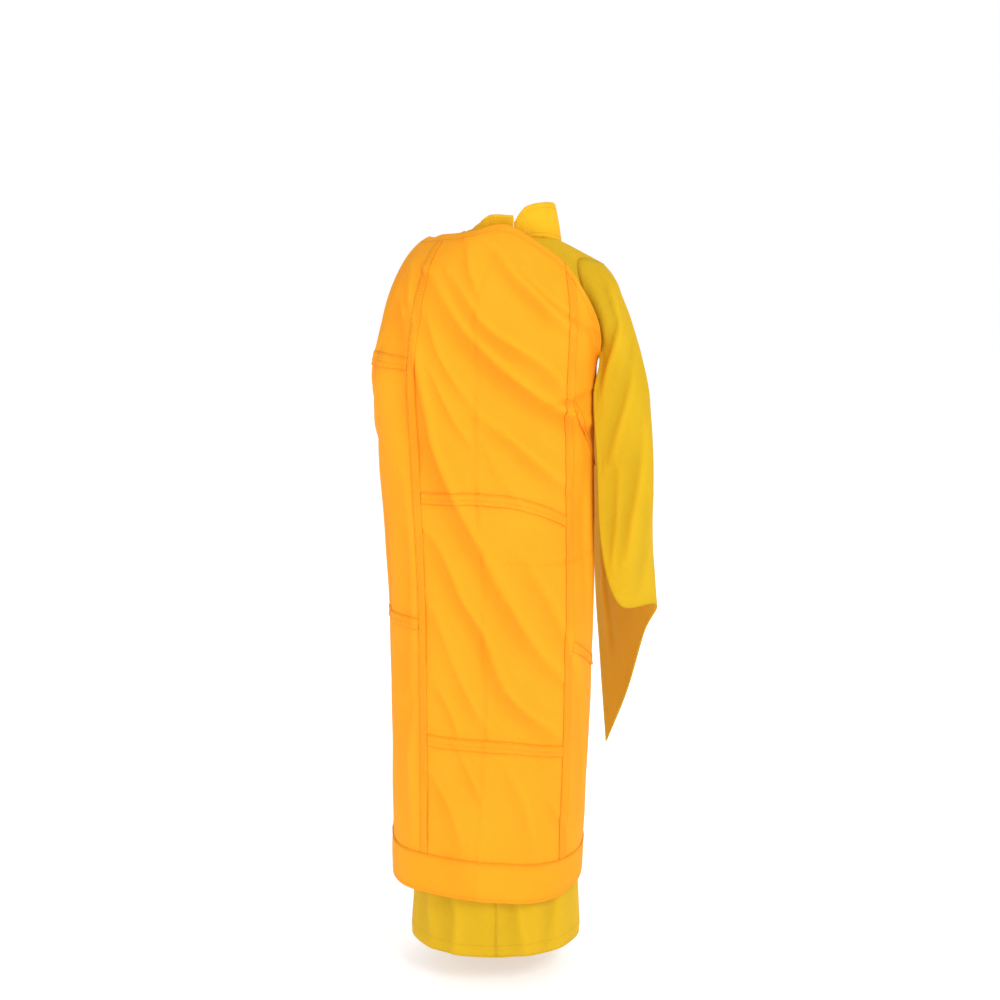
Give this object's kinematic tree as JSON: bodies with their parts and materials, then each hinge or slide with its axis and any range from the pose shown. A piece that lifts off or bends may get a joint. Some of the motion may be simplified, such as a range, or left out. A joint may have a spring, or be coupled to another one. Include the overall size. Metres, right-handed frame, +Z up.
{
  "type": "buddhist monk robe",
  "caption": "Worn Buddhist monk robe: a wide-sleeved robe with a crossed collar under a patched mantle over the left shoulder and arm, with a hollow body, neck and cuffs.",
  "frame": {"origin": "on the wearer's centre line at shoulder height, where both shoulders carry the cloth, 1.440 m above the floor the wearer stands on", "axes": "+Z up along the garment, -Y the way the wearer faces, +X to the wearer's left hand"},
  "size_m": [0.5546, 0.5126, 1.4524],
  "materials": {
    "robe_back_left": "matt plain weave, yellow",
    "robe_back_right": "matt plain weave, yellow",
    "robe_front_left": "matt plain weave, yellow",
    "robe_front_right": "matt plain weave, yellow",
    "collar_right": "matt doubled plain weave, warm yellow",
    "collar_left": "matt doubled plain weave, warm yellow",
    "sleeve_right_outer": "matt plain weave, yellow",
    "sleeve_right_inner": "matt plain weave, yellow",
    "sleeve_left_outer": "matt plain weave, yellow",
    "sleeve_left_inner": "matt plain weave, yellow",
    "mantle_outer_end": "matt plain weave, yellow orange",
    "mantle_left_arm": "matt plain weave, yellow orange",
    "mantle_back": "matt plain weave, yellow orange",
    "mantle_right_side": "matt plain weave, yellow orange",
    "mantle_front_right": "matt plain weave, yellow orange",
    "mantle_front_left": "matt plain weave, yellow orange",
    "mantle_inner_end": "matt plain weave, yellow orange",
    "leaf_outer_end_1": "matt plain weave leaf band with stitched rows",
    "leaf_outer_end_2": "matt plain weave leaf band with stitched rows",
    "leaf_left_arm": "matt plain weave leaf band with stitched rows",
    "leaf_back": "matt plain weave leaf band with stitched rows",
    "leaf_right_side": "matt plain weave leaf band with stitched rows",
    "leaf_front_right": "matt plain weave leaf band with stitched rows",
    "leaf_front_left": "matt plain weave leaf band with stitched rows",
    "leaf_inner_end": "matt plain weave leaf band with stitched rows",
    "border_hem": "matt plain weave border",
    "border_outer_end": "matt plain weave border"
  },
  "bodies": {
    "root": {"robe_back_left": "robe_back_left", "robe_back_right": "robe_back_right", "robe_front_left": "robe_front_left", "robe_front_right": "robe_front_right", "collar_right": "collar_right", "collar_left": "collar_left", "sleeve_right_outer": "sleeve_right_outer", "sleeve_right_inner": "sleeve_right_inner", "sleeve_left_outer": "sleeve_left_outer", "sleeve_left_inner": "sleeve_left_inner", "mantle_outer_end": "mantle_outer_end", "mantle_left_arm": "mantle_left_arm", "mantle_back": "mantle_back", "mantle_right_side": "mantle_right_side", "mantle_front_right": "mantle_front_right", "mantle_front_left": "mantle_front_left", "mantle_inner_end": "mantle_inner_end", "leaf_outer_end_1": "leaf_outer_end_1", "leaf_outer_end_2": "leaf_outer_end_2", "leaf_left_arm": "leaf_left_arm", "leaf_back": "leaf_back", "leaf_right_side": "leaf_right_side", "leaf_front_right": "leaf_front_right", "leaf_front_left": "leaf_front_left", "leaf_inner_end": "leaf_inner_end", "border_hem": "border_hem", "border_outer_end": "border_outer_end"}
  },
  "joints": []
}
